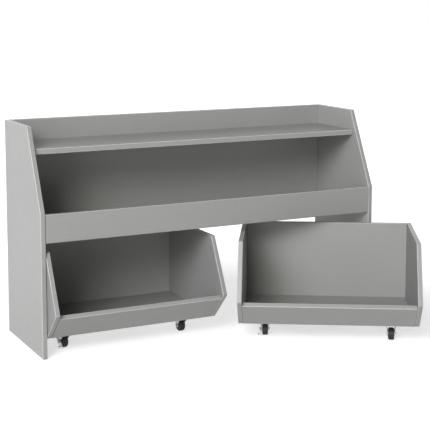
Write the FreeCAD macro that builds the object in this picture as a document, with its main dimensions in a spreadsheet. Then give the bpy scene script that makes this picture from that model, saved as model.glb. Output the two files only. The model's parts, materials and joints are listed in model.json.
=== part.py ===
import FreeCAD, Part
import math
import os
import Sketcher

# A toy storage cabinet for a child's room, in millimetres. Two rolling bins share its open lower bay.
# The left bin is parked in the bay. The right bin stands in front, turned away from the cabinet.
# X runs to the right seen from the front, Y to the back, and Z up from the floor.

SIZES = {
    # cabinet
    "cabinet_width": 1200.0,
    "cabinet_depth": 352.0,
    "cabinet_height": 706.0,
    "board": 16.0,
    "top_flat": 231.0,
    "front_height": 449.0,
    "rail_height": 89.0,
    "shelf_board": 18.0,
    "shelf_top": 637.5,
    "shelf_setback": 101.0,
    "corner_round": 4.0,
    "edge_round": 2.5,
    # bins
    "bin_width": 578.0,
    "bin_board": 15.0,
    "bin_floor_board": 11.0,
    "bin_lift": 61.0,
    "bin_rim": 330.5,
    "ridge_height": 151.5,
    "rim_depth": 339.5,
    "ridge_depth": 429.5,
    "base_depth": 340.5,
    "front_drop": 19.5,
    "bin_edge_round": 2.2,
    "end_round": 1.0,
    "left_bin_gap": 1.5,
    "right_bin_left": 194.5,
    "right_bin_back": 192.0,
    "right_bin_turn": 30.6,
    # casters
    "wheel_radius": 20.0,
    "wheel_width": 18.0,
    "tread_depth": 6.0,
    "trail": 14.0,
    "axle_radius": 3.0,
    "fork_gap": 20.0,
    "fork_steel": 2.2,
    "crown_height": 45.0,
    "cup_height": 12.3,
    "cup_radius": 19.0,
    "kingpin_radius": 4.0,
    "plate_width": 44.0,
    "plate_steel": 2.2,
    "plate_hole_spacing": 33.0,
    "caster_inset": 85.0,
    "caster_back": 85.0,
    "caster_front": 267.0,
    "running_fit": 0.06,
    "brake_steel": 1.6,
    "pedal_reach": 11.0,
    # fasteners
    "cam_radius": 7.5,
    "cam_depth": 12.7,
    "cam_reach": 34.0,
    "bolt_radius": 3.0,
    "bolt_bite": 11.0,
    "screw_radius": 2.5,
    "screw_length": 45.0,
    "screw_head_radius": 4.6,
    "screw_head_depth": 3.2,
    "plate_screw_radius": 1.9,
    "plate_screw_length": 9.5,
    "plate_screw_head": 3.4,
    "plate_screw_head_depth": 2.0,
}

doc = FreeCAD.newDocument("toy_organizer")
sheet = doc.addObject("Spreadsheet::Sheet", "Sizes")
for row, (alias, number) in enumerate(SIZES.items(), start=1):
    sheet.set("A%d" % row, alias)
    sheet.set("B%d" % row, str(number))
    sheet.setAlias("B%d" % row, alias)
doc.recompute()


class Size:
    """A length with its number in millimetres and the sheet formula that drives it."""

    def __init__(self, number, formula):
        self.number = float(number)
        self.formula = formula

    def __add__(self, other):
        other = as_size(other)
        return Size(self.number + other.number, "(%s + %s)" % (self.formula, other.formula))

    def __sub__(self, other):
        other = as_size(other)
        return Size(self.number - other.number, "(%s - %s)" % (self.formula, other.formula))

    def __mul__(self, other):
        other = as_size(other)
        return Size(self.number * other.number, "(%s * %s)" % (self.formula, other.formula))

    def __truediv__(self, other):
        other = as_size(other)
        return Size(self.number / other.number, "(%s / %s)" % (self.formula, other.formula))

    def __neg__(self):
        return Size(-self.number, "(0 - %s)" % self.formula)


def as_size(value):
    if isinstance(value, Size):
        return value
    return Size(value, "%g" % value)


def size(alias):
    return Size(sheet.get(alias), "Sizes." + alias)


def root_of(value):
    return Size(math.sqrt(value.number), "sqrt(%s)" % value.formula)


def origin_plane(body, role):
    for feature in body.Origin.OriginFeatures:
        if feature.Role == role:
            return feature
    raise ValueError(role)


def new_body(label):
    body = doc.addObject("PartDesign::Body", label)
    body.Label = label
    return body


def new_sketch(body, name, plane, lift):
    """An empty sketch on one of the body's own planes, lifted along that plane's normal."""
    sketch = body.newObject("Sketcher::SketchObject", body.Name + "_" + name)
    sketch.AttachmentSupport = [(origin_plane(body, plane), "")]
    sketch.MapMode = "FlatFace"
    lift = as_size(lift)
    sketch.AttachmentOffset = FreeCAD.Placement(FreeCAD.Vector(0, 0, lift.number), FreeCAD.Rotation())
    sketch.setExpression("AttachmentOffset.Base.z", lift.formula)
    return sketch


def pin_point(sketch, geometry, vertex, across, up):
    """Fixes one vertex of the sketch by its two coordinates."""
    for kind, axis, value in (("DistanceX", -2, across), ("DistanceY", -1, up)):
        if value.number == 0:
            sketch.addConstraint(Sketcher.Constraint("PointOnObject", geometry, vertex, axis))
        else:
            index = sketch.addConstraint(
                Sketcher.Constraint(kind, -1, 1, geometry, vertex, value.number)
            )
            sketch.setExpression("Constraints[%d]" % index, value.formula)


def outline(body, name, plane, points, lift=0):
    """A closed sketch of straight lines through the points."""
    sketch = new_sketch(body, name, plane, lift)
    points = [(as_size(across), as_size(up)) for across, up in points]
    count = len(points)
    for index in range(count):
        start = points[index]
        end = points[(index + 1) % count]
        line = Part.LineSegment(
            FreeCAD.Vector(start[0].number, start[1].number, 0),
            FreeCAD.Vector(end[0].number, end[1].number, 0),
        )
        sketch.addGeometry(line, False)
    for index in range(count):
        sketch.addConstraint(Sketcher.Constraint("Coincident", index, 2, (index + 1) % count, 1))
    for index, (across, up) in enumerate(points):
        pin_point(sketch, index, 1, across, up)
    return sketch


def circles(body, name, plane, centres, radius, lift=0):
    """A sketch of equal circles."""
    sketch = new_sketch(body, name, plane, lift)
    radius = as_size(radius)
    for index, (across, up) in enumerate(centres):
        across = as_size(across)
        up = as_size(up)
        centre = FreeCAD.Vector(across.number, up.number, 0)
        sketch.addGeometry(Part.Circle(centre, FreeCAD.Vector(0, 0, 1), radius.number), False)
        pin_point(sketch, index, 3, across, up)
        bound = sketch.addConstraint(Sketcher.Constraint("Radius", index, radius.number))
        sketch.setExpression("Constraints[%d]" % bound, radius.formula)
    return sketch


def pad(body, sketch, length, against_normal=False):
    length = as_size(length)
    feature = body.newObject("PartDesign::Pad", sketch.Name + "_pad")
    feature.Profile = sketch
    feature.Length = length.number
    feature.setExpression("Length", length.formula)
    feature.Reversed = against_normal
    doc.recompute()
    return feature


def pocket(body, sketch, depth, along_normal=False):
    """Cuts against the sketch's normal, or along it, and stops if nothing was cut."""
    depth = as_size(depth)
    before = body.Shape.Volume
    feature = body.newObject("PartDesign::Pocket", sketch.Name + "_pocket")
    feature.Profile = sketch
    feature.Length = depth.number
    feature.setExpression("Length", depth.formula)
    feature.Reversed = along_normal
    doc.recompute()
    if body.Shape.Volume > before - 1.0:
        raise RuntimeError("nothing was cut by " + feature.Name)
    return feature


def turned(body, name, plane, points, axis):
    """A solid of revolution from a closed outline, about one of the sketch's own axes."""
    sketch = outline(body, name, plane, points)
    feature = body.newObject("PartDesign::Revolution", sketch.Name + "_turned")
    feature.Profile = sketch
    feature.ReferenceAxis = (sketch, [axis])
    feature.Angle = 360.0
    doc.recompute()
    return feature


def mirror_sideways(body, feature):
    """Repeats a feature on the other side of the body's YZ plane."""
    mirrored = body.newObject("PartDesign::Mirrored", feature.Name + "_mirrored")
    mirrored.Originals = [feature]
    mirrored.MirrorPlane = (origin_plane(body, "YZ_Plane"), [""])
    body.Tip = mirrored
    doc.recompute()
    return mirrored


def ease(body, radius, test):
    """Rounds every edge of the body that passes the test."""
    radius = as_size(radius)
    base = body.Tip
    names = []
    for number, edge in enumerate(base.Shape.Edges, start=1):
        if test(edge):
            names.append("Edge%d" % number)
    feature = body.newObject("PartDesign::Fillet", body.Name + "_round%d" % len(body.Group))
    feature.Base = (base, names)
    feature.Radius = radius.number
    feature.setExpression("Radius", radius.formula)
    doc.recompute()
    return feature


def runs_along(edge, axis):
    """True for a straight edge parallel to axis 0, 1 or 2."""
    if len(edge.Vertexes) != 2:
        return False
    first = edge.Vertexes[0].Point
    second = edge.Vertexes[1].Point
    return all(abs(first[i] - second[i]) < 1e-6 for i in range(3) if i != axis)


def lies_flat(edge, axis, values):
    """True for an edge whose points all sit at one of the values along the axis."""
    box = edge.BoundBox
    low = (box.XMin, box.YMin, box.ZMin)[axis]
    high = (box.XMax, box.YMax, box.ZMax)[axis]
    return any(abs(low - value) < 1e-4 and abs(high - value) < 1e-4 for value in values)


def group(label, master, places):
    """One node of equal solids: the master's shape at each place."""
    feature = doc.addObject("Part::Feature", label)
    feature.Label = label
    copies = []
    for place in places:
        copy = master.Shape.copy()
        copy.Placement = place.multiply(master.Shape.Placement)
        copies.append(copy)
    feature.Shape = Part.makeCompound(copies)
    return feature


def facing(across, back, up, axis_from, axis_to):
    """A place that turns one direction into another."""
    return FreeCAD.Placement(
        FreeCAD.Vector(across, back, up),
        FreeCAD.Rotation(FreeCAD.Vector(*axis_from), FreeCAD.Vector(*axis_to)),
    )


# Driving sizes used in several places.
half_width = size("cabinet_width") / 2
depth = size("cabinet_depth")
height = size("cabinet_height")
board = size("board")
inner_half = half_width - board
back_face = depth - board
rail_bottom = size("front_height") - size("rail_height")
shelf_bottom = size("shelf_top") - size("shelf_board")
middle_top = rail_bottom + board

bin_width = size("bin_width")
bin_board = size("bin_board")
bin_lift = size("bin_lift")
bin_floor = bin_lift + size("bin_floor_board")
undercut_run = size("ridge_depth") - size("base_depth")
undercut_rise = size("ridge_height") - bin_lift
undercut = root_of(undercut_run * undercut_run + undercut_rise * undercut_rise)

# The part's origin is the middle of the floor area that it covers, with the bins where they stand.
turn = math.radians(size("right_bin_turn").number)
right_bin_corner = FreeCAD.Vector(size("right_bin_left").number, size("right_bin_back").number, 0)
bin_across = FreeCAD.Vector(math.cos(turn), -math.sin(turn), 0)
bin_forward = FreeCAD.Vector(-math.sin(turn), -math.cos(turn), 0)
rear_right = right_bin_corner + bin_across * bin_width.number
front_right = rear_right + bin_forward * size("ridge_depth").number
origin = FreeCAD.Vector(
    (rear_right.x - half_width.number) / 2,
    (front_right.y + depth.number) / 2,
    0,
)
cabinet_place = FreeCAD.Placement(-origin, FreeCAD.Rotation())
left_bin_place = FreeCAD.Placement(
    FreeCAD.Vector(size("left_bin_gap").number - inner_half.number, depth.number, 0) - origin,
    FreeCAD.Rotation(),
)
right_bin_place = FreeCAD.Placement(
    right_bin_corner - origin,
    FreeCAD.Rotation(FreeCAD.Vector(0, 0, 1), -size("right_bin_turn").number),
)
print("origin in the cabinet's frame: %.3f %.3f" % (origin.x, origin.y))

parts = []


def keep(item, place):
    """Adds a finished sub-part to the hand-over list, in its place."""
    item.Placement = place
    parts.append(item)


# ---- cabinet boards -------------------------------------------------------------------------------

# Where the cams pull each board tight against the side panels.
# Each row is (distance from the front, height).
cam_rows = {
    "top_shelf": [
        (size("shelf_setback") + 45, size("shelf_top") - size("shelf_board") / 2),
        (back_face - 45, size("shelf_top") - size("shelf_board") / 2),
    ],
    "middle_shelf": [(board + 50, rail_bottom + board / 2), (back_face - 50, rail_bottom + board / 2)],
    "front_rail": [(board / 2, middle_top + 26)],
    "back_panel": [(back_face + board / 2, rail_bottom + 70), (back_face + board / 2, height - 40)],
}
all_cams = [point for row in cam_rows.values() for point in row]


def side_panel(label, sign):
    """A side board: upright at the back, flat at the top, then sloping down to an upright front."""
    body = new_body(label)
    low = -half_width if sign < 0 else inner_half
    profile = [
        (0, 0),
        (depth, 0),
        (depth, height),
        (depth - size("top_flat"), height),
        (0, size("front_height")),
    ]
    pad(body, outline(body, "profile", "YZ_Plane", profile, low), board)
    ease(body, size("corner_round"), lambda edge: runs_along(edge, 0) and edge.CenterOfMass.z > 1)
    faces = (low.number, low.number + board.number)
    ease(body, size("edge_round"), lambda edge: lies_flat(edge, 0, faces))
    inner = -inner_half if sign < 0 else inner_half
    outwards = sign > 0
    bolts = circles(body, "bolt_holes", "YZ_Plane", all_cams, size("bolt_radius"), inner)
    pocket(body, bolts, size("bolt_bite"), outwards)
    return body


def cross_board(label, low, high, rounded):
    """A board between the side panels, from its low to its high corner in depth and height."""
    body = new_body(label)
    profile = [low, (high[0], low[1]), high, (low[0], high[1])]
    pad(body, outline(body, "profile", "YZ_Plane", profile, -inner_half), inner_half * 2)
    ease(body, size("edge_round"), lambda edge: runs_along(edge, 0) and rounded(edge.CenterOfMass))
    ends = (-inner_half.number, inner_half.number)
    ease(body, size("end_round"), lambda edge: lies_flat(edge, 0, ends))
    bolts = circles(body, "bolt_holes", "YZ_Plane", cam_rows[label], size("bolt_radius"), -inner_half)
    mirror_sideways(body, pocket(body, bolts, size("cam_reach"), True))
    return body


def cam_pockets(body, label, plane, face, up_is_depth, along_normal):
    """The blind round pockets for the cams, near both ends of a board."""
    reach = inner_half - size("cam_reach")
    centres = []
    for back, up in cam_rows[label]:
        across_face = back if up_is_depth else up
        centres.append((-reach, across_face))
    sketch = circles(body, "cam_pockets", plane, centres, size("cam_radius"), face)
    mirror_sideways(body, pocket(body, sketch, size("cam_depth"), along_normal))


keep(side_panel("left_side_panel", -1), cabinet_place)
keep(side_panel("right_side_panel", 1), cabinet_place)

top_shelf = cross_board(
    "top_shelf",
    (size("shelf_setback"), shelf_bottom),
    (back_face, size("shelf_top")),
    lambda point: point.y < size("shelf_setback").number + 1,
)
cam_pockets(top_shelf, "top_shelf", "XY_Plane", shelf_bottom, True, True)
keep(top_shelf, cabinet_place)

middle_shelf = cross_board(
    "middle_shelf",
    (board, rail_bottom),
    (back_face, middle_top),
    lambda point: point.z < rail_bottom.number + 1 and point.y > back_face.number - 1,
)
cam_pockets(middle_shelf, "middle_shelf", "XY_Plane", rail_bottom, True, True)
keep(middle_shelf, cabinet_place)

front_rail = cross_board(
    "front_rail",
    (as_size(0), rail_bottom),
    (board, size("front_height")),
    lambda point: point.y < 1 or point.z > size("front_height").number - 1,
)
cam_pockets(front_rail, "front_rail", "XZ_Plane", -board, False, True)
keep(front_rail, cabinet_place)

back_panel = cross_board(
    "back_panel",
    (back_face, rail_bottom),
    (depth, height),
    lambda point: point.z > height.number - 1 or point.y > depth.number - 1,
)
cam_pockets(back_panel, "back_panel", "XZ_Plane", -depth, False, True)
keep(back_panel, cabinet_place)

# ---- cabinet fasteners ----------------------------------------------------------------------------


def cam_master():
    """A cam: a disc with a slot that grips the bolt's head. It stands on Z, mouth down."""
    body = new_body("cam_master")
    disc = circles(body, "disc", "XY_Plane", [(0, 0)], size("cam_radius") - 0.1)
    pad(body, disc, size("cam_depth") - 0.2)
    slot = [(-9, -3.6), (1.5, -3.6), (1.5, 3.6), (-9, 3.6)]
    pocket(body, outline(body, "slot", "XY_Plane", slot, 4), 8, True)
    cross = [(-4, -0.8), (4, -0.8), (4, 0.8), (-4, 0.8)]
    pocket(body, outline(body, "driver", "XY_Plane", cross, 0), 2.0, True)
    return body


def bolt_master():
    """A cam bolt along X: the thread bites the side panel at -X and the head sits in the cam."""
    body = new_body("bolt_master")
    neck = size("bolt_radius") - 0.9
    shank = size("bolt_radius") - 0.05
    reach = size("cam_reach")
    profile = [
        (-size("bolt_bite") + 0.2, 0),
        (reach - 1, 0),
        (reach - 1, shank),
        (reach - 4, shank),
        (reach - 4, neck),
        (reach - 8, neck),
        (reach - 8, shank),
        (-size("bolt_bite") + 0.2, shank),
    ]
    turned(body, "profile", "XY_Plane", profile, "H_Axis")
    return body


cam = cam_master()
bolt = bolt_master()
cam_places = []
bolt_places = []
for label, row in cam_rows.items():
    for back, up in row:
        for sign in (-1, 1):
            end = sign * inner_half.number
            centre = sign * (inner_half.number - size("cam_reach").number)
            if label in ("top_shelf", "middle_shelf"):
                mouth = shelf_bottom.number if label == "top_shelf" else rail_bottom.number
                place = facing(centre, back.number, mouth + 0.1, (0, 0, 1), (0, 0, 1))
            else:
                mouth = board.number if label == "front_rail" else depth.number
                place = facing(centre, mouth - 0.1, up.number, (0, 0, 1), (0, -1, 0))
            spin = FreeCAD.Placement(
                FreeCAD.Vector(),
                FreeCAD.Rotation(FreeCAD.Vector(0, 0, 1), 0 if sign < 0 else 180),
            )
            cam_places.append(place.multiply(spin))
            bolt_places.append(facing(end, back.number, up.number, (1, 0, 0), (-sign, 0, 0)))
keep(group("cabinet_cams", cam, cam_places), cabinet_place)
keep(group("cabinet_cam_bolts", bolt, bolt_places), cabinet_place)

# ---- bins -----------------------------------------------------------------------------------------
# A bin's own frame has its origin on the floor below the rear left corner, and its front faces -Y.

front_top_out = (
    size("ridge_depth") - undercut_run / undercut * size("front_drop"),
    size("ridge_height") - undercut_rise / undercut * size("front_drop"),
)
front_top_in = (
    front_top_out[0] - undercut_rise / undercut * bin_board,
    front_top_out[1] + undercut_run / undercut * bin_board,
)
front_foot_in = size("base_depth") - undercut / undercut_rise * bin_board
floor_reach = front_foot_in + undercut_run / undercut_rise * size("bin_floor_board")

# Screws through the bin's sides, as (distance from the back, height).
side_screws = [
    (bin_board / 2, bin_lift + 45),
    (bin_board / 2, size("bin_rim") - 135),
    (bin_board / 2, size("bin_rim") - 30),
    (as_size(90), bin_lift + size("bin_floor_board") / 2),
    (as_size(260), bin_lift + size("bin_floor_board") / 2),
    (
        size("base_depth") + undercut_run * 0.28 - undercut_rise / undercut * bin_board / 2,
        bin_lift + undercut_rise * 0.28 + undercut_run / undercut * bin_board / 2,
    ),
    (
        size("base_depth") + undercut_run * 0.66 - undercut_rise / undercut * bin_board / 2,
        bin_lift + undercut_rise * 0.66 + undercut_run / undercut * bin_board / 2,
    ),
]
back_screws = side_screws[:3]
floor_screws = side_screws[3:5]
front_screws = side_screws[5:]
screw_in_board = size("screw_length") - bin_board


def sketch_points(rows):
    """Turns (distance from the back, height) into YZ sketch points, with the front at -Y."""
    return [(-back, up) for back, up in rows]


def bin_side(label, sign):
    """A bin's side: a rim, a front edge that leans out to a ridge, and an undercut below it."""
    body = new_body(label)
    low = as_size(0) if sign < 0 else bin_width - bin_board
    profile = sketch_points(
        [
            (as_size(0), bin_lift),
            (as_size(0), size("bin_rim")),
            (size("rim_depth"), size("bin_rim")),
            (size("ridge_depth"), size("ridge_height")),
            (size("base_depth"), bin_lift),
        ]
    )
    pad(body, outline(body, "profile", "YZ_Plane", profile, low), bin_board)
    ease(body, size("corner_round"), lambda edge: runs_along(edge, 0) and edge.CenterOfMass.y < -1)
    faces = (low.number, low.number + bin_board.number)
    ease(body, size("bin_edge_round"), lambda edge: lies_flat(edge, 0, faces))
    outer = as_size(0) if sign < 0 else bin_width
    shanks = circles(body, "screw_holes", "YZ_Plane", sketch_points(side_screws), size("screw_radius"), outer)
    pocket(body, shanks, bin_board, sign < 0)
    heads = circles(
        body, "head_holes", "YZ_Plane", sketch_points(side_screws), size("screw_head_radius"), outer
    )
    pocket(body, heads, size("screw_head_depth"), sign < 0)
    return body


def bin_board_between(label, profile, screws, rounded):
    """A board between the bin's sides, with pilot holes for the screws in both ends."""
    body = new_body(label)
    sketch = outline(body, "profile", "YZ_Plane", sketch_points(profile), bin_board)
    pad(body, sketch, bin_width - bin_board * 2)
    if rounded is not None:
        ease(body, size("bin_edge_round"), lambda edge: runs_along(edge, 0) and rounded(edge.CenterOfMass))
    ends = (bin_board.number, bin_width.number - bin_board.number)
    ease(body, size("end_round"), lambda edge: lies_flat(edge, 0, ends))
    for name, face, inwards in (("left", bin_board, True), ("right", bin_width - bin_board, False)):
        pilots = circles(
            body, name + "_pilots", "YZ_Plane", sketch_points(screws), size("screw_radius"), face
        )
        pocket(body, pilots, screw_in_board, inwards)
    return body


def caster_spots():
    """The kingpin of each caster in the bin's frame, as (name, across, distance from the back)."""
    spots = []
    for where, back in (("front", size("caster_front")), ("rear", size("caster_back"))):
        spots.append((where + "_left", size("caster_inset"), back))
        spots.append((where + "_right", bin_width - size("caster_inset"), back))
    return spots


def plate_hole_spots():
    half = size("plate_hole_spacing") / 2
    spots = []
    for name, across, back in caster_spots():
        for step_x in (-1, 1):
            for step_y in (-1, 1):
                spots.append((across + half * step_x, -back + half * step_y))
    return spots


def build_bin(prefix, place):
    """The five boards of one bin and the screws that hold them."""
    keep(bin_side(prefix + "_left_side", -1), place)
    keep(bin_side(prefix + "_right_side", 1), place)
    back_profile = [
        (as_size(0), bin_lift),
        (bin_board, bin_lift),
        (bin_board, size("bin_rim")),
        (as_size(0), size("bin_rim")),
    ]
    back = bin_board_between(
        prefix + "_back", back_profile, back_screws, lambda point: point.z > size("bin_rim").number - 1
    )
    keep(back, place)
    floor_profile = [
        (bin_board, bin_lift),
        (front_foot_in, bin_lift),
        (floor_reach, bin_floor),
        (bin_board, bin_floor),
    ]
    floor = bin_board_between(prefix + "_floor", floor_profile, floor_screws, None)
    holes = circles(
        floor, "plate_screw_holes", "XY_Plane", plate_hole_spots(), size("plate_screw_radius"), bin_lift
    )
    pocket(floor, holes, size("plate_screw_length"), True)
    keep(floor, place)
    front_profile = [
        (front_foot_in, bin_lift),
        (size("base_depth"), bin_lift),
        front_top_out,
        front_top_in,
    ]
    front = bin_board_between(
        prefix + "_front", front_profile, front_screws, lambda point: point.z > bin_lift.number + 1
    )
    keep(front, place)
    screw_places = []
    for back_distance, up in side_screws:
        screw_places.append(facing(0, -back_distance.number, up.number, (1, 0, 0), (1, 0, 0)))
        screw_places.append(
            facing(bin_width.number, -back_distance.number, up.number, (1, 0, 0), (-1, 0, 0))
        )
    keep(group(prefix + "_screws", screw, screw_places), place)
    plate_screw_places = []
    for across, back_distance in plate_hole_spots():
        under = bin_lift - size("plate_steel")
        plate_screw_places.append(
            facing(across.number, back_distance.number, under.number, (0, 0, 1), (0, 0, 1))
        )
    keep(group(prefix + "_plate_screws", plate_screw, plate_screw_places), place)


def screw_master():
    """A bin screw along X, its flat head flush with the side's outer face at X = 0."""
    body = new_body("screw_master")
    shank = size("screw_radius") - 0.05
    head = size("screw_head_radius") - 0.1
    head_depth = size("screw_head_depth")
    profile = [
        (0.2, 2.0),
        (0.2, head),
        (head_depth - 0.1, head),
        (head_depth - 0.1, shank),
        (size("screw_length") - 4, shank),
        (size("screw_length") - 0.5, 0),
        (2.4, 0),
        (2.4, 2.0),
    ]
    turned(body, "profile", "XY_Plane", profile, "H_Axis")
    return body


def plate_screw_master():
    """A caster plate screw along Z. Its pan head sits below Z = 0 and its thread above."""
    body = new_body("plate_screw_master")
    shank = size("plate_screw_radius") - 0.05
    head = size("plate_screw_head")
    top = size("plate_screw_length") + size("plate_steel")
    profile = [
        (0, -size("plate_screw_head_depth")),
        (head * 0.6, -size("plate_screw_head_depth")),
        (head, -size("plate_screw_head_depth") * 0.5),
        (head, 0),
        (shank, 0),
        (shank, top - 2.0),
        (0, top - 0.2),
    ]
    turned(body, "profile", "XZ_Plane", profile, "V_Axis")
    return body


screw = screw_master()
plate_screw = plate_screw_master()

# ---- casters --------------------------------------------------------------------------------------
# A caster's own frame has its kingpin on Z, the floor at Z = 0 and the wheel trailing towards +Y.

wheel_radius = size("wheel_radius")
trail = size("trail")
crown = size("crown_height")
crown_steel = size("fork_steel") * 0.8
cup_radius = size("cup_radius")
cup_top = crown + size("cup_height")
pin_radius = size("kingpin_radius")
pin_bore = pin_radius + size("running_fit")
plate_bottom = bin_lift - size("plate_steel")
fork_half = size("fork_gap") / 2
leg_spread = cup_radius - 3
leg_bend = wheel_radius + 9
brake_steel = size("brake_steel")
brake_bore = size("axle_radius") + size("running_fit") - 0.02
brake_packing = brake_steel + 0.6


def plate_master():
    """The top plate with its pressed upper race."""
    body = new_body("plate_master")
    half = size("plate_width") / 2
    square = [(-half, -half), (half, -half), (half, half), (-half, half)]
    pad(body, outline(body, "plate", "XY_Plane", square, plate_bottom), size("plate_steel"))
    ease(body, 5, lambda edge: runs_along(edge, 2))
    race = [
        (pin_radius + 0.05, crown + 3.6),
        (cup_radius - 6.5, crown + 3.6),
        (cup_radius - 4, crown + 7),
        (cup_radius - 4, plate_bottom + 0.5),
        (pin_radius + 0.05, plate_bottom + 0.5),
    ]
    turned(body, "race", "XZ_Plane", race, "V_Axis")
    bore = circles(body, "bore", "XY_Plane", [(0, 0)], pin_radius + 0.05, bin_lift)
    pocket(body, bore, bin_lift - crown)
    hole = size("plate_hole_spacing") / 2
    spots = [(-hole, -hole), (hole, -hole), (hole, hole), (-hole, hole)]
    holes = circles(body, "screw_holes", "XY_Plane", spots, size("plate_screw_radius") + 0.3, bin_lift)
    pocket(body, holes, size("plate_steel"))
    return body


def kingpin_master():
    """The rivet on which the fork turns."""
    body = new_body("kingpin_master")
    head_top = crown - size("running_fit")
    profile = [
        (0, head_top - 2.6),
        (4.5, head_top - 2.6),
        (6.5, head_top - 1.4),
        (6.5, head_top),
        (pin_radius, head_top),
        (pin_radius, bin_lift - 0.2),
        (0, bin_lift - 0.2),
    ]
    turned(body, "profile", "XZ_Plane", profile, "V_Axis")
    return body


def caster_fork(label):
    """The swivelling fork: a cup below the race and two legs that lean back to the axle."""
    body = new_body(label)
    cup = [
        (pin_bore, crown),
        (cup_radius - 2.5, crown),
        (cup_radius, crown + 2.5),
        (cup_radius, cup_top),
        (cup_radius - 1.8, cup_top),
        (cup_radius - 1.8, crown + 3.2),
        (cup_radius - 3.2, crown + crown_steel),
        (pin_bore, crown + crown_steel),
    ]
    turned(body, "cup", "XZ_Plane", cup, "V_Axis")
    leg = [
        (-8, crown + 1),
        (8, crown + 1),
        (trail + 7, wheel_radius + 8),
        (trail + 7, wheel_radius - 7),
        (trail - 7, wheel_radius - 7),
        (trail - 7, wheel_radius + 5),
        (-8, crown - 3),
    ]
    sketch = outline(body, "leg", "YZ_Plane", leg, fork_half)
    mirror_sideways(body, pad(body, sketch, leg_spread - fork_half))
    ease(
        body,
        6,
        lambda edge: runs_along(edge, 0) and edge.CenterOfMass.z < wheel_radius.number - 6,
    )
    leg_face = fork_half + size("fork_steel")
    behind = -trail - 12
    between = [(-leg_spread + 2, crown), (-fork_half, leg_bend), (fork_half, leg_bend), (leg_spread - 2, crown)]
    pocket(body, outline(body, "between_legs", "XZ_Plane", between, behind), trail + 24, True)
    outside = [
        (leg_face, wheel_radius - 8),
        (leg_spread + 1, wheel_radius - 8),
        (leg_spread + 1, crown),
        (leg_spread, crown),
        (leg_face, leg_bend),
    ]
    cut_away = pocket(body, outline(body, "outside_leg", "XZ_Plane", outside, behind), trail + 24, True)
    mirror_sideways(body, cut_away)
    reach = fork_half + size("fork_steel")
    axle_hole = circles(body, "axle_hole", "YZ_Plane", [(trail, wheel_radius)], size("axle_radius"), -reach)
    pocket(body, axle_hole, reach * 2, True)
    return body


def caster_axle(label, packing):
    """The axle bolt: its head at +X, and at -X a lock nut outside any packing on the bolt."""
    body = new_body(label)
    reach = fork_half + size("fork_steel")
    radius = size("axle_radius")
    nut_face = -reach - packing
    shaft = circles(body, "shaft", "YZ_Plane", [(trail, wheel_radius)], radius - 0.02, nut_face - 5.5)
    pad(body, shaft, reach * 2 + packing + 6)
    across = radius * 1.75
    corners = []
    for index in range(6):
        angle = math.radians(60 * index)
        corners.append((trail + across * math.cos(angle), wheel_radius + across * math.sin(angle)))
    pad(body, outline(body, "head", "YZ_Plane", corners, reach), 2.6)
    pad(body, outline(body, "nut", "YZ_Plane", corners, nut_face), 4.0, True)
    return body


def brake_lever(label):
    """A rocker on the axle, outside the leg at -X: a foot pedal in front and a stop tab behind."""
    body = new_body(label)
    leg_face = fork_half + size("fork_steel")
    low = -leg_face - 0.3 - brake_steel
    rocker = [(-21, 4), (-12, 4), (6, 12), (22, 26), (22, 33), (14, 33), (12, 25.5), (-6, 25.5), (-21, 9)]
    points = [(trail + along, up) for along, up in rocker]
    pad(body, outline(body, "rocker", "YZ_Plane", points, low), brake_steel)
    pedal = [(-21, 4), (-11, 4), (-11, 5.8), (-21, 5.8)]
    points = [(trail + along, up) for along, up in pedal]
    pad(body, outline(body, "pedal", "YZ_Plane", points, low), size("pedal_reach"), True)
    stop = [(14, 31.2), (22, 31.2), (22, 33), (14, 33)]
    points = [(trail + along, up) for along, up in stop]
    pad(body, outline(body, "stop", "YZ_Plane", points, low), size("pedal_reach") - 2, True)
    ease(body, 2.5, lambda edge: runs_along(edge, 2) and edge.CenterOfMass.x < low.number - 5)
    bore = circles(body, "bore", "YZ_Plane", [(trail, wheel_radius)], brake_bore, low)
    pocket(body, bore, brake_steel, True)
    return body


def tyre(label):
    """The rubber tyre about its own centre, with two staggered rows of tread grooves."""
    body = new_body(label)
    half = size("wheel_width") / 2
    inner = wheel_radius - size("tread_depth")
    profile = [
        (-half + 1.5, inner),
        (half - 1.5, inner),
        (half, inner + 2),
        (half, wheel_radius - 2.5),
        (half - 2, wheel_radius - 0.4),
        (half - 4, wheel_radius),
        (-half + 4, wheel_radius),
        (-half + 2, wheel_radius - 0.4),
        (-half, wheel_radius - 2.5),
        (-half, inner + 2),
    ]
    turned(body, "profile", "XY_Plane", profile, "H_Axis")
    count = 22
    for name, low, turn_by in (("left", -half - 1, 0), ("right", as_size(1), 0.5)):
        angle = math.radians(360.0 / count * turn_by)
        along = (math.cos(angle), math.sin(angle))
        across = (-math.sin(angle), math.cos(angle))
        corners = []
        for out, aside in ((-1.5, -1.1), (1.0, -1.1), (1.0, 1.1), (-1.5, 1.1)):
            reach = wheel_radius + out
            corners.append((reach * along[0] + aside * across[0], reach * along[1] + aside * across[1]))
        sketch = outline(body, name + "_groove", "YZ_Plane", corners, low)
        groove = pocket(body, sketch, half, True)
        ring = body.newObject("PartDesign::PolarPattern", sketch.Name + "_ring")
        ring.Originals = [groove]
        ring.Axis = (sketch, ["N_Axis"])
        ring.Angle = 360.0
        ring.Occurrences = count
        body.Tip = ring
        doc.recompute()
    return body


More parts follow.
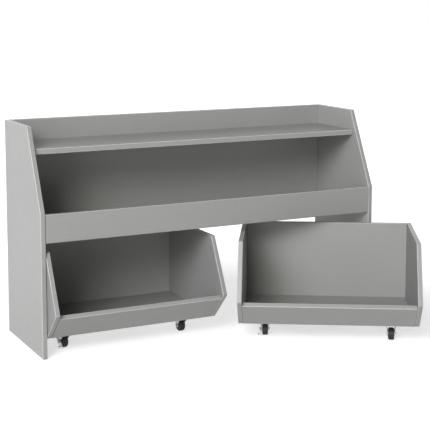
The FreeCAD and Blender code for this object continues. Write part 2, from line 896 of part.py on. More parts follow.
def hub(label):
    """The wheel's core about its own centre: a rim, a thin web and a boss with the bore."""
    body = new_body(label)
    half = size("wheel_width") / 2
    outer = wheel_radius - size("tread_depth") - 0.02
    bore = size("axle_radius") + size("running_fit") - 0.02
    boss = size("axle_radius") + 3
    profile = [
        (-half - 0.4, bore),
        (half + 0.4, bore),
        (half + 0.4, boss),
        (3, boss + 0.6),
        (3, outer - 2.4),
        (half - 1.7, outer - 1.6),
        (half - 1.7, outer),
        (-half + 1.7, outer),
        (-half + 1.7, outer - 1.6),
        (-3, outer - 2.4),
        (-3, boss + 0.6),
        (-half - 0.4, boss),
    ]
    turned(body, "profile", "XY_Plane", profile, "H_Axis")
    return body


def caster_places(place, turns):
    """The place of each caster of a bin. Each turn is how far its fork has swivelled, in degrees."""
    places = {}
    for name, across, back in caster_spots():
        swivel = FreeCAD.Placement(
            FreeCAD.Vector(across.number, -back.number, 0),
            FreeCAD.Rotation(FreeCAD.Vector(0, 0, 1), turns[name]),
        )
        places[name] = place.multiply(swivel)
    return places


plate = plate_master()
kingpin = kingpin_master()
to_axle = FreeCAD.Placement(FreeCAD.Vector(0, trail.number, wheel_radius.number), FreeCAD.Rotation())
fixed_spots = [
    FreeCAD.Placement(FreeCAD.Vector(across.number, -back.number, 0), FreeCAD.Rotation())
    for name, across, back in caster_spots()
]


def build_casters(prefix, place, turns):
    """The four casters of one bin: fixed plates and kingpins, then the turning parts."""
    keep(group(prefix + "_caster_plates", plate, fixed_spots), place)
    keep(group(prefix + "_kingpins", kingpin, fixed_spots), place)
    for name, spot in caster_places(place, turns).items():
        stem = prefix + "_" + name
        keep(caster_fork(stem + "_fork"), spot)
        braked = name == "front_left"
        keep(caster_axle(stem + "_axle", brake_packing if braked else as_size(0)), spot)
        if braked:
            keep(brake_lever(stem + "_brake"), spot)
        keep(tyre(stem + "_tyre"), spot.multiply(to_axle))
        keep(hub(stem + "_hub"), spot.multiply(to_axle))


left_turns = {"front_left": 9.0, "front_right": 2.0, "rear_left": 6.0, "rear_right": 4.0}
right_turns = {"front_left": 0.0, "front_right": 180.0, "rear_left": 3.0, "rear_right": 177.0}
build_bin("left_bin", left_bin_place)
build_casters("left_bin", left_bin_place, left_turns)
build_bin("right_bin", right_bin_place)
build_casters("right_bin", right_bin_place, right_turns)

# ---- checks and export ----------------------------------------------------------------------------

doc.recompute()
for item in doc.Objects:
    for state in item.State:
        if state in ("Invalid", "Error"):
            raise RuntimeError("%s is %s" % (item.Label, state))
os.makedirs("parts", exist_ok=True)
for item in parts:
    shape = item.Shape
    if shape.isNull() or not shape.isValid() or shape.Volume < 1.0:
        raise RuntimeError("bad shape: " + item.Label)
for item in parts:
    item.Shape.exportStep("parts/%s.step" % item.Label)
    print("%s: %d solids, %.0f mm3" % (item.Label, len(item.Shape.Solids), item.Shape.Volume))
print("%d nodes" % len(parts))
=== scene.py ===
# %% [markdown]
# # A toy storage organizer with two rolling bins
# The boards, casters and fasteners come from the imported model, already in place and in metres.
# This script dresses them: paint, zinc, rubber and plastic, the bearing balls inside the casters,
# the treads on the brake levers, a pale floor, soft studio light and the camera.

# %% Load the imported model
import json
import math

import bmesh
import bpy
from mathutils import Matrix, Vector


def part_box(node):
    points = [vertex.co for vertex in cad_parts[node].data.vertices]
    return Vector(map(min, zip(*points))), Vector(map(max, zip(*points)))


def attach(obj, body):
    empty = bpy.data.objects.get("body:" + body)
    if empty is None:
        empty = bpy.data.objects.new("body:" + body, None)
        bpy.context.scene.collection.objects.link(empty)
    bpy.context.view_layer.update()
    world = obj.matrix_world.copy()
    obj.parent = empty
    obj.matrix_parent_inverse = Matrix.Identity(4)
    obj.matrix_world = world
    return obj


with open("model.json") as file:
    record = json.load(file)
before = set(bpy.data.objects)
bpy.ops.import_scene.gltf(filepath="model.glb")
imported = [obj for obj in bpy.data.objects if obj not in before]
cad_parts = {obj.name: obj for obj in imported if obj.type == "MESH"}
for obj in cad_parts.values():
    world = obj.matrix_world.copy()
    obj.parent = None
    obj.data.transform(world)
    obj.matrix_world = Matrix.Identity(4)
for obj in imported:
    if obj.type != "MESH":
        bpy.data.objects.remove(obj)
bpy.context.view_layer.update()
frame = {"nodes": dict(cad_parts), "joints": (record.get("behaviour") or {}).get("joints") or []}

# %% [markdown]
# ## Which way things face
# The cabinet and the left bin stand in line with X and Y. The right bin stands turned on the floor,
# and its paint needs to know which way its boards face. The turn could be typed in as an angle, but
# then it could differ from the model. It is read from the model instead: the direction in which the
# bin rolls is stored with its rolling joint, and that is the way its front faces.

# %% Directions
ACROSS = Vector((1, 0, 0))
BACKWARDS = Vector((0, 1, 0))
UP = Vector((0, 0, 1))
joints = {joint["name"]: joint for joint in frame["joints"]}
RIGHT_BIN_FRONT = Vector(joints["right_bin_roll"]["axis"]).normalized()
RIGHT_BIN_SIDE = RIGHT_BIN_FRONT.cross(UP).normalized()
print("right bin faces", [round(v, 3) for v in RIGHT_BIN_FRONT])

# %% [markdown]
# The front board of a bin leans: its upper edge stands further out than its lower edge. These two
# numbers are the level and the downward part of the direction in which it looks.

# %% Directions of the leaning fronts
LEAN_OUT = 0.713
LEAN_DOWN = 0.701
LEFT_BIN_LEAN = Vector((0, -LEAN_OUT, -LEAN_DOWN))
RIGHT_BIN_LEAN = RIGHT_BIN_FRONT * LEAN_OUT + Vector((0, 0, -LEAN_DOWN))
print("fronts lean", round(math.degrees(math.atan2(LEAN_DOWN, LEAN_OUT)), 1), "degrees")

# %% [markdown]
# ## The camera
# A level camera would keep the cabinet's upright edges parallel, but it needs a large lens shift. A
# camera that looks down steeply needs none, but its uprights lean together. This one looks down a
# little and shifts a little. Its place, turn and lens were solved from the object's corners for an
# image of 430 by 430 pixels.

# %% Camera
CAMERA_PLACE = (-1.73562, -3.28181, 1.11511)
CAMERA_LOOKS_DOWN = 7.0
CAMERA_TURN = -26.6733
camera_data = bpy.data.cameras.new("camera")
camera_data.sensor_width = 36.0
camera_data.lens = 98.14
camera_data.shift_y = -0.1822
camera = bpy.data.objects.new("camera", camera_data)
camera.location = CAMERA_PLACE
camera.rotation_euler = (math.radians(90 - CAMERA_LOOKS_DOWN), 0, math.radians(CAMERA_TURN))
bpy.context.scene.collection.objects.link(camera)
bpy.context.scene.camera = camera
bpy.context.scene.view_settings.view_transform = "Standard"
print("camera at", [round(v, 3) for v in camera.location])

# %% [markdown]
# ## Small helpers for materials
# A material is a graph of nodes. It could be joined by hand in the editor, but many finishes here use
# the same steps. These helpers add a node with its values and join its sockets, so each finish below
# reads as a short list of steps.


# %% Helpers that add nodes
def new_finish(name):
    """A material with its node tree and its main shader."""
    material = bpy.data.materials.new(name)
    material.use_nodes = True
    return material, material.node_tree, material.node_tree.nodes["Principled BSDF"]


def add(tree, kind, inputs=(), **settings):
    """A node with settings, and its inputs given by name or number as values or other sockets."""
    node = tree.nodes.new(kind)
    for name, value in settings.items():
        setattr(node, name, value)
    for key, value in dict(inputs).items():
        if isinstance(value, bpy.types.NodeSocket):
            tree.links.new(value, node.inputs[key])
        else:
            node.inputs[key].default_value = value
    return node


def places(tree):
    """The place on the piece, in metres, which stays with the piece when it moves."""
    return add(tree, "ShaderNodeTexCoord").outputs["Object"]


print("helpers:", new_finish.__name__, add.__name__, places.__name__)

# %% [markdown]
# The next helpers each stand for one everyday step: arithmetic, soft noise, stretching a range of
# values, mixing two colours and turning a height into dents. Noise is sized by how many times its
# pattern repeats in a metre, so a larger number gives a finer pattern.


# %% Helpers for patterns
def maths(tree, operation, first, second=0.0):
    """One arithmetic step between sockets or numbers."""
    return add(tree, "ShaderNodeMath", {0: first, 1: second}, operation=operation).outputs[0]


def speckle(tree, place, scale, detail=2.0, roughness=0.5):
    """Soft noise between 0 and 1, with its pattern repeated this many times in a metre."""
    inputs = {"Vector": place, "Scale": scale, "Detail": detail, "Roughness": roughness}
    return add(tree, "ShaderNodeTexNoise", inputs).outputs[0]


def spread(tree, value, low, high, to_low, to_high):
    """Stretches a value from one range to another and stops at its ends."""
    inputs = {"Value": value, "From Min": low, "From Max": high, "To Min": to_low, "To Max": to_high}
    return add(tree, "ShaderNodeMapRange", inputs).outputs[0]


def blend_colours(tree, factor, first, second):
    """A colour between two others."""
    node = add(tree, "ShaderNodeMix", {"Factor": factor, 6: first, 7: second}, data_type="RGBA")
    return node.outputs[2]


def bumpy(tree, height, strength, distance):
    """Turns a height into small dents and rises."""
    inputs = {"Height": height, "Strength": strength, "Distance": distance}
    return add(tree, "ShaderNodeBump", inputs).outputs[0]


print("pattern helpers:", maths.__name__, speckle.__name__, spread.__name__, bumpy.__name__)

# %% [markdown]
# ## Grey paint on board
# The boards are wood-based sheet with a smooth satin grey paint. Real paint is never one even tone.
# It has a faint cloudiness and a fine mist of deeper grey. Its rounded edges carry a painted highlight,
# broken up where rubbed, and some big faces a painted shade. The joints between boards are shallow
# grooves with painted shade in them. All tones are close together, so that the paint still reads as one
# grey.

# %% Paint tones
PAINT = (0.313, 0.314, 0.307, 1.0)
PAINT_LIGHT = (0.319, 0.320, 0.313, 1.0)
PAINT_DEEP = (0.308, 0.309, 0.302, 1.0)
# The rubbed tone is a painted highlight on the rounded edges, partly rubbed wear.
PAINT_RUBBED_HIGHLIGHT = (0.50, 0.50, 0.485, 1.0)
# The scuffed and dull tones are painted shade on the big faces of some boards.
PAINT_FACE_SHADE = (0.262, 0.262, 0.258, 1.0)
PAINT_FACE_SHADE_DEEP = (0.252, 0.252, 0.248, 1.0)
# The groove tone is painted shade in the joints between boards.
PAINT_GROOVE_SHADE = (0.03, 0.03, 0.03, 1.0)
print("paint", PAINT[:3], "rubbed", PAINT_RUBBED_HIGHLIGHT[:3], "faces_shaded", PAINT_FACE_SHADE[:3])

# %% [markdown]
# The patterns have real sizes. Clouds are as large as a hand, mist and rubbing are a few centimetres
# and less, and the peel that a roller leaves is about 3 mm across and hardly to be felt. The gloss
# varies by a small amount round its own value.

# %% Paint pattern sizes
CLOUD_SCALE = 6.0
MIST_SCALE = 70.0
RUB_SCALE = 26.0
SHEEN_SCALE = 30.0
PEEL_SCALE = 320.0
PEEL_STRENGTH = 0.02
PEEL_DEPTH = 0.0004
PAINT_ROUGHNESS = 0.38
HANDLED_ROUGHNESS = 0.5
SHEEN_CHANGE = 0.02
PAINT_IOR = 1.4
print("paint peel every", round(1000 / PEEL_SCALE, 1), "mm")

# %% [markdown]
# The edges of a board could be found by a bevel node or by hand-painted marks, but the first is slow
# and the second doesn't follow a change of size. A board's own normal tells enough: on the big faces
# it looks straight along one direction, on the flat edges not at all along it, and on the rounded
# corners partly. These two helpers measure that.


# %% Helpers that find the edges
def tilt_towards(tree, normal, direction):
    """How much the surface faces along a direction, from 0 for not at all to 1 for straight."""
    dot = add(tree, "ShaderNodeVectorMath", {0: normal, 1: tuple(direction)}, operation="DOT_PRODUCT")
    return maths(tree, "ABSOLUTE", dot.outputs["Value"])


def between(tree, value, low, mid_low, mid_high, high):
    """1 while a value is in its middle range, fading to 0 at both ends."""
    rise = spread(tree, value, low, mid_low, 0.0, 1.0)
    fall = spread(tree, value, mid_high, high, 1.0, 0.0)
    return maths(tree, "MULTIPLY", rise, fall)


print("edge helpers:", tilt_towards.__name__, between.__name__)

# %% [markdown]
# The colour is built in layers from the bottom up: clouds, mist, painted shade on the big faces, a
# painted highlight broken up by rubbing on the rounded corners, and last the painted shade of the
# groove at each jointed end. Each layer is a mask and a tone.


# %% Paint colour
def paint_colour(tree, where, tilt, end_tilt, faces_shaded):
    """The layers of the paint's colour. The tilts are 1 on big faces and on jointed ends."""
    clouds = spread(tree, speckle(tree, where, CLOUD_SCALE, 2.0), 0.35, 0.65, 0.0, 1.0)
    tone = blend_colours(tree, clouds, PAINT, PAINT_LIGHT)
    mist = spread(tree, speckle(tree, where, MIST_SCALE, 3.0), 0.5, 0.75, 0.0, 1.0)
    tone = blend_colours(tree, mist, tone, PAINT_DEEP)
    # Painted shade: the big faces get a deeper grey, varied by the mist.
    if faces_shaded:
        flat = spread(tree, tilt, 0.9, 0.99, 0.0, 1.0)
        tone = blend_colours(tree, flat, tone, blend_colours(tree, mist, PAINT_FACE_SHADE, PAINT_FACE_SHADE_DEEP))
    # Painted highlight on the rounded corners, broken up by a rub noise that stands for wear.
    corner = between(tree, tilt, 0.06, 0.25, 0.8, 0.97)
    rub = spread(tree, speckle(tree, where, RUB_SCALE, 3.0, 0.6), 0.3, 0.6, 0.55, 1.0)
    tone = blend_colours(tree, maths(tree, "MULTIPLY", corner, rub), tone, PAINT_RUBBED_HIGHLIGHT)
    # Painted shade in the groove at each jointed end, nearly black.
    if end_tilt is not None:
        groove_shade = spread(tree, end_tilt, 0.1, 0.3, 0.0, 1.0)
        tone = blend_colours(tree, groove_shade, tone, PAINT_GROOVE_SHADE)
    return tone


print("paint layers from", paint_colour.__name__)

# %% [markdown]
# The whole finish adds gloss and peel to the colour. The narrow edges are sealed and smoother than
# the faces, so their roughness is half as large and they catch a brighter line.


# %% Paint finish
def grey_paint(name, face_direction, end_direction=None, faces_shaded=False, roughness=PAINT_ROUGHNESS):
    """Satin grey paint for a board, from the way its big faces and its jointed ends look."""
    material, tree, shader = new_finish(name)
    place = add(tree, "ShaderNodeTexCoord")
    where, normal = place.outputs["Object"], place.outputs["Normal"]
    tilt = tilt_towards(tree, normal, face_direction)
    end_tilt = None if end_direction is None else tilt_towards(tree, normal, end_direction)
    tone = paint_colour(tree, where, tilt, end_tilt, faces_shaded)
    tree.links.new(tone, shader.inputs["Base Color"])
    matt, glossy = roughness + SHEEN_CHANGE, roughness - SHEEN_CHANGE
    sheen = spread(tree, speckle(tree, where, SHEEN_SCALE, 2.0), 0.3, 0.7, glossy, matt)
    edge = spread(tree, tilt, 0.3, 0.6, 0.5, 1.0)
    tree.links.new(maths(tree, "MULTIPLY", sheen, edge), shader.inputs["Roughness"])
    peel = speckle(tree, where, PEEL_SCALE, 1.0)
    tree.links.new(bumpy(tree, peel, PEEL_STRENGTH, PEEL_DEPTH), shader.inputs["Normal"])
    shader.inputs["IOR"].default_value = PAINT_IOR
    return material


print("paint gloss", PAINT_ROUGHNESS, "and where hands hold it", HANDLED_ROUGHNESS)

# %% [markdown]
# ## Which board gets which paint
# One paint for all boards would not know where their edges are. Only nine kinds of board occur, so
# each kind gets the paint that knows its own direction. Side panels look along X, shelves along Z,
# upright boards along Y, and the bins' fronts along their slope. The turned bin has its own set.
# Shelves, floors and the bins' sides get painted shade on their big faces.

# %% Kinds of board
# These boards get painted shade on their big faces, and the bins' sides are also rougher where hands
# hold them.
HANDLED_AND_SHADED = {"faces_shaded": True, "roughness": HANDLED_ROUGHNESS}
SHADED = {"faces_shaded": True}
PAINTS = {
    "paint_sides": (ACROSS, None, {}),
    "paint_left_bin_sides": (ACROSS, None, HANDLED_AND_SHADED),
    "paint_right_bin_sides": (RIGHT_BIN_SIDE, None, HANDLED_AND_SHADED),
    "paint_level": (UP, ACROSS, SHADED),
    "paint_upright": (BACKWARDS, ACROSS, {}),
    "paint_left_bin_front": (LEFT_BIN_LEAN, ACROSS, {}),
    "paint_right_bin_floor": (UP, RIGHT_BIN_SIDE, SHADED),
    "paint_right_bin_back": (RIGHT_BIN_FRONT, RIGHT_BIN_SIDE, {}),
    "paint_right_bin_front": (RIGHT_BIN_LEAN, RIGHT_BIN_SIDE, {}),
}
BOARDS = {
    "paint_sides": ["left_side_panel", "right_side_panel"],
    "paint_left_bin_sides": ["left_bin_left_side", "left_bin_right_side", "left_bin_screws"],
    "paint_right_bin_sides": ["right_bin_left_side", "right_bin_right_side", "right_bin_screws"],
    "paint_level": ["top_shelf", "middle_shelf", "left_bin_floor"],
    "paint_upright": ["front_rail", "back_panel", "left_bin_back"],
    "paint_left_bin_front": ["left_bin_front"],
    "paint_right_bin_floor": ["right_bin_floor"],
    "paint_right_bin_back": ["right_bin_back"],
    "paint_right_bin_front": ["right_bin_front"],
}
print("kinds of board:", len(PAINTS))

# %% [markdown]
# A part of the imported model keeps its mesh. Only the finish in its slots changes. The screws that
# hold the bins' sides are sunk flush and painted over, so they take the paint of those sides.


# %% Paint on every board
def dress(node_name, material):
    """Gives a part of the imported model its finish."""
    part = frame["nodes"][node_name]
    if not part.material_slots:
        part.data.materials.append(material)
    for slot in part.material_slots:
        slot.material = material


for name, (face_direction, end_direction, wear) in PAINTS.items():
    paint = grey_paint(name, face_direction, end_direction, **wear)
    for board in BOARDS[name]:
        dress(board, paint)
print("parts painted:", sum(len(boards) for boards in BOARDS.values()))

# %% [markdown]
# ## Zinc-plated steel
# Forks, plates, axles and screws are pressed steel with a thin bright zinc coat. It is cool and
# faintly blue-green, with a patchy sheen from the bath and a fine grain. A plain metal shader would
# look like a mirror, so noise changes both its tint and its roughness.

# %% Zinc values
ZINC_PATCH_SCALE = 160.0
ZINC_SHEEN_SCALE = 240.0
ZINC_GRAIN_SCALE = 1500.0
ZINC_DULLING = 0.72
ZINC_SMOOTHER = 0.07
ZINC_ROUGHER = 0.12
ZINC_GRAIN_STRENGTH = 0.1
ZINC_GRAIN_DEPTH = 0.0002
print("zinc patches every", round(1000 / ZINC_PATCH_SCALE, 1), "mm")

# %% [markdown]
# The parts don't all shine alike. Forks and plates come from one bath and look bluest, the foot
# levers get the lightest tint as a painted highlight, and the small screws are duller. One recipe with
# a tint and a roughness serves them all, where four separate graphs would only repeat each other.


# %% Zinc recipe
def zinc(name, tint, roughness):
    """Bright zinc plating with a patchy sheen."""
    material, tree, shader = new_finish(name)
    where = places(tree)
    patches = spread(tree, speckle(tree, where, ZINC_PATCH_SCALE, 3.0, 0.6), 0.35, 0.65, 0.0, 1.0)
    dull = tuple(channel * ZINC_DULLING for channel in tint[:3]) + (1.0,)
    tree.links.new(blend_colours(tree, patches, dull, tint), shader.inputs["Base Color"])
    shader.inputs["Metallic"].default_value = 1.0
    low, high = roughness - ZINC_SMOOTHER, roughness + ZINC_ROUGHER
    sheen = spread(tree, speckle(tree, where, ZINC_SHEEN_SCALE, 2.0), 0.3, 0.7, low, high)
    tree.links.new(sheen, shader.inputs["Roughness"])
    grain = speckle(tree, where, ZINC_GRAIN_SCALE, 2.0)
    dents = bumpy(tree, grain, ZINC_GRAIN_STRENGTH, ZINC_GRAIN_DEPTH)
    tree.links.new(dents, shader.inputs["Normal"])
    return material


FORK_ZINC = zinc("zinc_fork", (0.60, 0.70, 0.72, 1.0), 0.30)
# The lever's lighter tint is a painted highlight that stands in for the light on its top.
PEDAL_ZINC_LIT = zinc("zinc_pedal_lit", (0.78, 0.80, 0.80, 1.0), 0.24)
BOLT_ZINC = zinc("zinc_bolt", (0.72, 0.74, 0.75, 1.0), 0.26)
SCREW_ZINC = zinc("zinc_screw", (0.62, 0.62, 0.60, 1.0), 0.34)
print("zinc finishes:", FORK_ZINC.name, PEDAL_ZINC_LIT.name, BOLT_ZINC.name, SCREW_ZINC.name)

# %% [markdown]
# ## Rubber tyres
# The tyres are soft black rubber, and dust from the floor clings to them in patches. One noise gives
# both the dust's colour and its dryness, because a dusty spot is also less shiny. A finer noise makes
# the pores.

# %% Rubber recipe
RUBBER_BLACK = (0.016, 0.016, 0.017, 1.0)
RUBBER_DUSTY = (0.055, 0.054, 0.052, 1.0)
DUST_SCALE = 210.0
PORE_SCALE = 1300.0
PORE_STRENGTH = 0.25
PORE_DEPTH = 0.0003


def rubber(name):
    """Black rubber with patches of dust."""
    material, tree, shader = new_finish(name)
    where = places(tree)
    dust = spread(tree, speckle(tree, where, DUST_SCALE, 4.0, 0.65), 0.45, 0.75, 0.0, 0.55)
    tone = blend_colours(tree, dust, RUBBER_BLACK, RUBBER_DUSTY)
    tree.links.new(tone, shader.inputs["Base Color"])
    tree.links.new(spread(tree, dust, 0.0, 0.5, 0.55, 0.8), shader.inputs["Roughness"])
    pores = speckle(tree, where, PORE_SCALE, 2.0)
    tree.links.new(bumpy(tree, pores, PORE_STRENGTH, PORE_DEPTH), shader.inputs["Normal"])
    return material


TYRE = rubber("rubber_tyre")
print("tyre finish:", TYRE.name)

# %% [markdown]
# ## Plastic hubs
# The hubs are moulded plastic, dark grey, with a fine even grain from the mould. The grain could be
# left out at this size, but it keeps the hub from looking like polished stone in a close view.

# %% Plastic recipe
PLASTIC_DARK = (0.10, 0.105, 0.11, 1.0)
PLASTIC_LIGHT = (0.14, 0.145, 0.15, 1.0)
MOTTLE_SCALE = 120.0
MOULD_SCALE = 2200.0
MOULD_STRENGTH = 0.15
MOULD_DEPTH = 0.0002


def hub_plastic(name):
    """Dark grey moulded plastic with a fine grain."""
    material, tree, shader = new_finish(name)
    where = places(tree)
    mottle = speckle(tree, where, MOTTLE_SCALE, 3.0)
    tone = blend_colours(tree, mottle, PLASTIC_DARK, PLASTIC_LIGHT)
    tree.links.new(tone, shader.inputs["Base Color"])
    tree.links.new(spread(tree, mottle, 0.3, 0.7, 0.42, 0.55), shader.inputs["Roughness"])
    grain = speckle(tree, where, MOULD_SCALE, 1.0)
    tree.links.new(bumpy(tree, grain, MOULD_STRENGTH, MOULD_DEPTH), shader.inputs["Normal"])
    return material


HUB = hub_plastic("plastic_hub")
print("hub finish:", HUB.name)

# %% [markdown]
# ## Dress the casters and fasteners
# There are eight casters with the same parts, and two of them have a brake lever as well. They could
# be dressed one by one, but each part's name ends in what it is. So the finish is chosen by the end
# of the name, and no caster is forgotten.

# %% Finishes by the end of a name
FINISH_BY_ENDING = {
    "_fork": FORK_ZINC,
    "_brake": PEDAL_ZINC_LIT,
    "_caster_plates": FORK_ZINC,
    "_plate_screws": SCREW_ZINC,
    "_axle": BOLT_ZINC,
    "_kingpins": BOLT_ZINC,
    "_cams": SCREW_ZINC,
    "_bolts": SCREW_ZINC,
    "_tyre": TYRE,
    "_hub": HUB,
}
dressed = 0
for node_name in frame["nodes"]:
    for ending, finish in FINISH_BY_ENDING.items():
        if node_name.endswith(ending):
            dress(node_name, finish)
            dressed += 1
print("caster parts and fasteners dressed:", dressed)

# %% [markdown]
# ## From mesh to piece
# The small pieces below are modelled with mesh operators. Each piece then needs an object in the
# scene, a finish, and the body of the model that it moves with.


# %% Helper that makes a piece
def as_piece(mesh, name, material, body):
    """Turns a modelled mesh into a zinc piece that rides on a body."""
    data = bpy.data.meshes.new(name)
    mesh.to_mesh(data)
    mesh.free()
    piece = bpy.data.objects.new(name, data)
    bpy.context.scene.collection.objects.link(piece)
    data.materials.append(material)
    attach(piece, body)
    return piece


print("pieces are made by", as_piece.__name__)

# %% [markdown]
# ## Bearing balls
# A swivel caster turns on a ring of small steel balls between its plate and its fork. They show as a
# glint in the gap. Each ball is made with the sphere operator at its own place on the ring, all in one
# mesh, so each caster has a single piece that turns with its fork. The balls are small and many, so a
# sphere with few faces is enough, and smooth shading rounds it.

# %% Ball rings
BALL_RADIUS = 0.00105
RING_RADIUS = 0.0161
RING_BELOW_CUP = 0.0012
BALLS = 16


def ball_ring(name, fork):
    """A ring of balls in the gap above a fork's cup."""
    centre = Vector(joints.get(fork.replace("_fork", "_swivel"), joints["right_bin_turn"])["pos_m"])
    centre.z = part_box(fork)[1].z - RING_BELOW_CUP
    mesh = bmesh.new()
    for step in range(BALLS):
        angle = 2 * math.pi * step / BALLS
        spot = Matrix.Translation(centre + Vector((math.cos(angle), math.sin(angle), 0)) * RING_RADIUS)
        bmesh.ops.create_icosphere(mesh, subdivisions=2, radius=BALL_RADIUS, matrix=spot)
    for face in mesh.faces:
        face.smooth = True
    return as_piece(mesh, name, BOLT_ZINC, fork.replace("_fork", "_caster"))


forks = [name for name in sorted(frame["nodes"]) if name.endswith("_fork")]
for fork in forks:
    ball_ring(fork.replace("_fork", "_balls"), fork)
print("ball rings:", len(forks), "with", BALLS, "balls each")

# %% [markdown]
# ## Treads on the brake levers
# A bare lever end would be thin underfoot, so it carries a small pressed cap with ribs for grip. The
# cap starts as a block in the lever's own directions: outwards along the axle, then level, then up.
# Its top is cut into strips with the subdivide operator, and every other strip is raised by an inset.

# %% Tread values
TREAD_SIZE = (0.0102, 0.0092, 0.0026)
TREAD_CENTRE = (0.0197, 0.0160, -0.0129)
STRIP_CUTS = 6
RIB_INSET = 0.00015
RIB_RISE = 0.0006
TREAD_EDGE = 0.0001
SHARP_ANGLE = 1.0
print("tread:", [round(1000 * side, 1) for side in TREAD_SIZE], "mm")

# %% [markdown]
# The ribs could be drawn with a bump in the finish, but they stand at the edge of the lever where
# their outline shows, so they are real shape. A cube is the simplest start. The last step breaks
# every sharp rim with a tiny bevel, as a pressed part has no knife edges, and so it catches light.


# %% Tread shape
def tread_shape():
    """The ribbed cap, measured from the axle along the lever's own directions."""
    mesh = bmesh.new()
    block = Matrix.Translation(TREAD_CENTRE) @ Matrix.Diagonal((*TREAD_SIZE, 1.0))
    bmesh.ops.create_cube(mesh, size=1.0, matrix=block)
    lengthwise = [e for e in mesh.edges if abs((e.verts[0].co - e.verts[1].co).y) > 0.001]
    bmesh.ops.subdivide_edges(mesh, edges=lengthwise, cuts=STRIP_CUTS, use_grid_fill=True)
    mesh.normal_update()
    top = [face for face in mesh.faces if face.normal.z > 0.9]
    strips = sorted(top, key=lambda face: face.calc_center_median().y)
    bmesh.ops.inset_individual(mesh, faces=strips[::2], thickness=RIB_INSET, depth=RIB_RISE)
    rims = [e for e in mesh.edges if e.calc_face_angle(0.0) > SHARP_ANGLE]
    bmesh.ops.bevel(
        mesh, geom=rims, offset=TREAD_EDGE, segments=1, profile=0.5, affect="EDGES", material=-1
    )
    return mesh


print("strips on a tread:", STRIP_CUTS + 1)

# %% [markdown]
# One matrix puts the finished cap on its lever. Its columns are the lever's directions, which come
# from the joint that the lever turns on, so the cap sits right on both casters, whichever way they
# are turned. The place ends up in the mesh, and the object stays at the origin.


# %% Brake treads
def brake_tread(name, lever):
    """A ribbed cap on a brake lever's foot end."""
    lift = joints[lever + "_lift"]
    out = Vector(lift["axis"]).normalized()
    onto_lever = Matrix((out, UP.cross(out), UP)).transposed().to_4x4()
    onto_lever.translation = Vector(lift["pos_m"])
    mesh = tread_shape()
    bmesh.ops.transform(mesh, matrix=onto_lever, verts=mesh.verts)
    return as_piece(mesh, name, PEDAL_ZINC_LIT, lever)


for lever in [name for name in sorted(frame["nodes"]) if name.endswith("_brake")]:
    tread = brake_tread(lever.replace("_brake", "_brake_tread"), lever)
    heights = [vertex.co.z * 1000 for vertex in tread.data.vertices]
    print(tread.name, "from", round(min(heights), 1), "to", round(max(heights), 1), "mm above the floor")

# %% [markdown]
# ## The floor
# The object stands on a plain white floor. A floor that is white only by its light would need so much
# of it that the object would be too bright. So the camera and mirror-like surfaces see a floor that is
# partly paint and partly glow: it reaches white, and still shows the object's shadow. Further out the
# glow alone is white, so that floor and background meet without a line. Other rays meet pale paint.

# %% Floor values
FLOOR_HALF = 30.0
FLOOR_WHITE = (0.79, 0.79, 0.79, 1.0)
FLOOR_WHITER = (0.81, 0.81, 0.81, 1.0)
FLOOR_SEEN = (0.61, 0.61, 0.61, 1.0)
FLOOR_SEEN_LIGHTER = (0.64, 0.64, 0.64, 1.0)
FLOOR_DUST_SCALE = 60.0
GLOW_NEAR = 0.63
GLOW_FAR = 1.0
GLOW_STARTS = 0.75
GLOW_FULL = 1.5
print("floor glows from", GLOW_NEAR, "to", GLOW_FAR)

# %% [markdown]
# The finish has two branches. One is the matt paint that throws light back on the object, and the
# other is what is seen. The light path node tells which kind of ray has arrived, and a mix shader
# lets it choose. Two floors, one of them hidden from the camera, would do the same less simply.


# %% Floor finish
def floor_paint():
    """Pale matt paint that the camera sees with a glow."""
    material, tree, shader = new_finish("floor_white")
    tree.nodes.remove(shader)
    place = places(tree)
    distance = add(tree, "ShaderNodeVectorMath", {0: place}, operation="LENGTH").outputs["Value"]
    dust = speckle(tree, place, FLOOR_DUST_SCALE, 3.0)
    white = blend_colours(tree, dust, FLOOR_WHITE, FLOOR_WHITER)
    matt = add(tree, "ShaderNodeBsdfDiffuse", {"Color": white})
    shade = blend_colours(tree, dust, FLOOR_SEEN, FLOOR_SEEN_LIGHTER)
    shown = add(tree, "ShaderNodeBsdfDiffuse", {"Color": shade})
    strength = spread(tree, distance, GLOW_STARTS, GLOW_FULL, GLOW_NEAR, GLOW_FAR)
    glow = add(tree, "ShaderNodeEmission", {"Color": (1, 1, 1, 1), "Strength": strength})
    lit = add(tree, "ShaderNodeAddShader", {0: shown.outputs[0], 1: glow.outputs[0]})
    ray = add(tree, "ShaderNodeLightPath")
    seen = maths(tree, "MAXIMUM", ray.outputs["Is Camera Ray"], ray.outputs["Is Glossy Ray"])
    either = add(tree, "ShaderNodeMixShader", {0: seen, 1: matt.outputs[0], 2: lit.outputs[0]})
    tree.links.new(either.outputs[0], tree.nodes["Material Output"].inputs["Surface"])
    return material


print("floor dust every", round(1000 / FLOOR_DUST_SCALE, 1), "mm")

# %% [markdown]
# A curved backdrop is common in a studio, but it would have to stand somewhere, and this object is
# looked at from all sides. One very large level square works from everywhere. It is stage, and not
# part of the object.


# %% Floor
def plain_floor():
    """A large level square under the object."""
    mesh = bmesh.new()
    bmesh.ops.create_grid(mesh, x_segments=1, y_segments=1, size=FLOOR_HALF)
    data = bpy.data.meshes.new("floor")
    mesh.to_mesh(data)
    mesh.free()
    floor = bpy.data.objects.new("floor", data)
    bpy.context.scene.collection.objects.link(floor)
    data.materials.append(floor_paint())


plain_floor()
print("floor:", 2 * FLOOR_HALF, "m wide")

# %% [markdown]
# ## The background
# The room is one even white for the camera, for reflections and for anything seen through glass. The
# light that it throws on the object is much weaker, so that the lamps shape the object and the inside
# of the cubby stays in shade.

# %% World
AMBIENT_LIGHT = 0.15


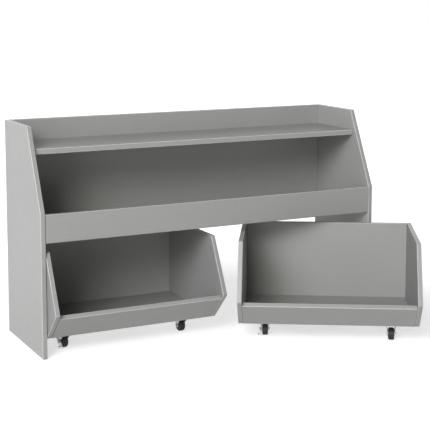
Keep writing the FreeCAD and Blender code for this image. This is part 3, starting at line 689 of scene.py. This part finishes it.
def plain_world(strength):
    """Even light from all round, and a white background for the camera."""
    world = bpy.data.worlds.new("studio")
    bpy.context.scene.world = world
    world.use_nodes = True
    tree = world.node_tree
    background = tree.nodes["Background"]
    background.inputs["Color"].default_value = (1, 1, 1, 1)
    ray = add(tree, "ShaderNodeLightPath")
    seen = maths(tree, "MAXIMUM", ray.outputs["Is Camera Ray"], ray.outputs["Is Glossy Ray"])
    seen = maths(tree, "MAXIMUM", seen, ray.outputs["Is Transmission Ray"])
    tree.links.new(spread(tree, seen, 0.0, 1.0, strength, 1.0), background.inputs["Strength"])


plain_world(AMBIENT_LIGHT)
print("light from all round:", AMBIENT_LIGHT)

# %% [markdown]
# ## The lamps
# One wide lamp could light the object, but then one power would have to suit all its faces. Four soft
# lamps stand together at the front left instead: two at a middle height make the main light, a high
# one reaches into the bins, and a low one lightens the slopes under the bins' fronts. Their powers
# were fitted to the tones in the photograph. They are far away, so the light hardly falls off along
# the cabinet. Two low lamps behind light the back for views from there.

# %% Lamp values
LAMP_DISTANCE = 10.0
LAMP_SIZE = 3.4
LAMP_AIM = (0, 0, 0.3)
# name: azimuth and elevation in degrees, power in watts, colour
KEY_LAMPS = {
    "left_near": (43, 28, 480, (1.0, 1.0, 0.93)),
    "left_far": (58, 28, 365, (0.99, 0.99, 1.12)),
    "left_high": (45, 46, 115, (1.0, 1.0, 0.95)),
    "left_low": (47, 5, 170, (1.0, 1.0, 0.97)),
}
FILL_LAMPS = {
    "rear_right_fill": (-125, 7, 280, (1.0, 1.0, 1.0)),
    "rear_left_fill": (165, 7, 280, (1.0, 1.0, 1.0)),
}
print("key lamps:", len(KEY_LAMPS), "fill lamps:", len(FILL_LAMPS))

# %% [markdown]
# A lamp's place is easier to think of as a direction than as coordinates, so each is given by how far
# round and how far up it stands. All aim at the middle of the object. The fill lamps stand low and
# show in no reflection, because a higher lamp behind brightened the shelf's top in the front view.


# %% Lamps
def soft_lamp(name, azimuth, elevation, power, colour):
    """A square soft lamp aimed at the object. Azimuth 0 is in front, and positive goes to the left."""
    light = bpy.data.lights.new(name, "AREA")
    light.shape = "SQUARE"
    light.size = LAMP_SIZE
    light.energy = power
    light.color = colour
    lamp = bpy.data.objects.new(name, light)
    turn, rise = math.radians(azimuth), math.radians(elevation)
    level = math.cos(rise)
    away = Vector((-math.sin(turn) * level, -math.cos(turn) * level, math.sin(rise)))
    lamp.location = Vector(LAMP_AIM) + away * LAMP_DISTANCE
    lamp.rotation_euler = away.to_track_quat("Z", "Y").to_euler()
    bpy.context.scene.collection.objects.link(lamp)
    return lamp


for name, values in KEY_LAMPS.items():
    soft_lamp(name, *values)
for name, values in FILL_LAMPS.items():
    soft_lamp(name, *values).visible_glossy = False
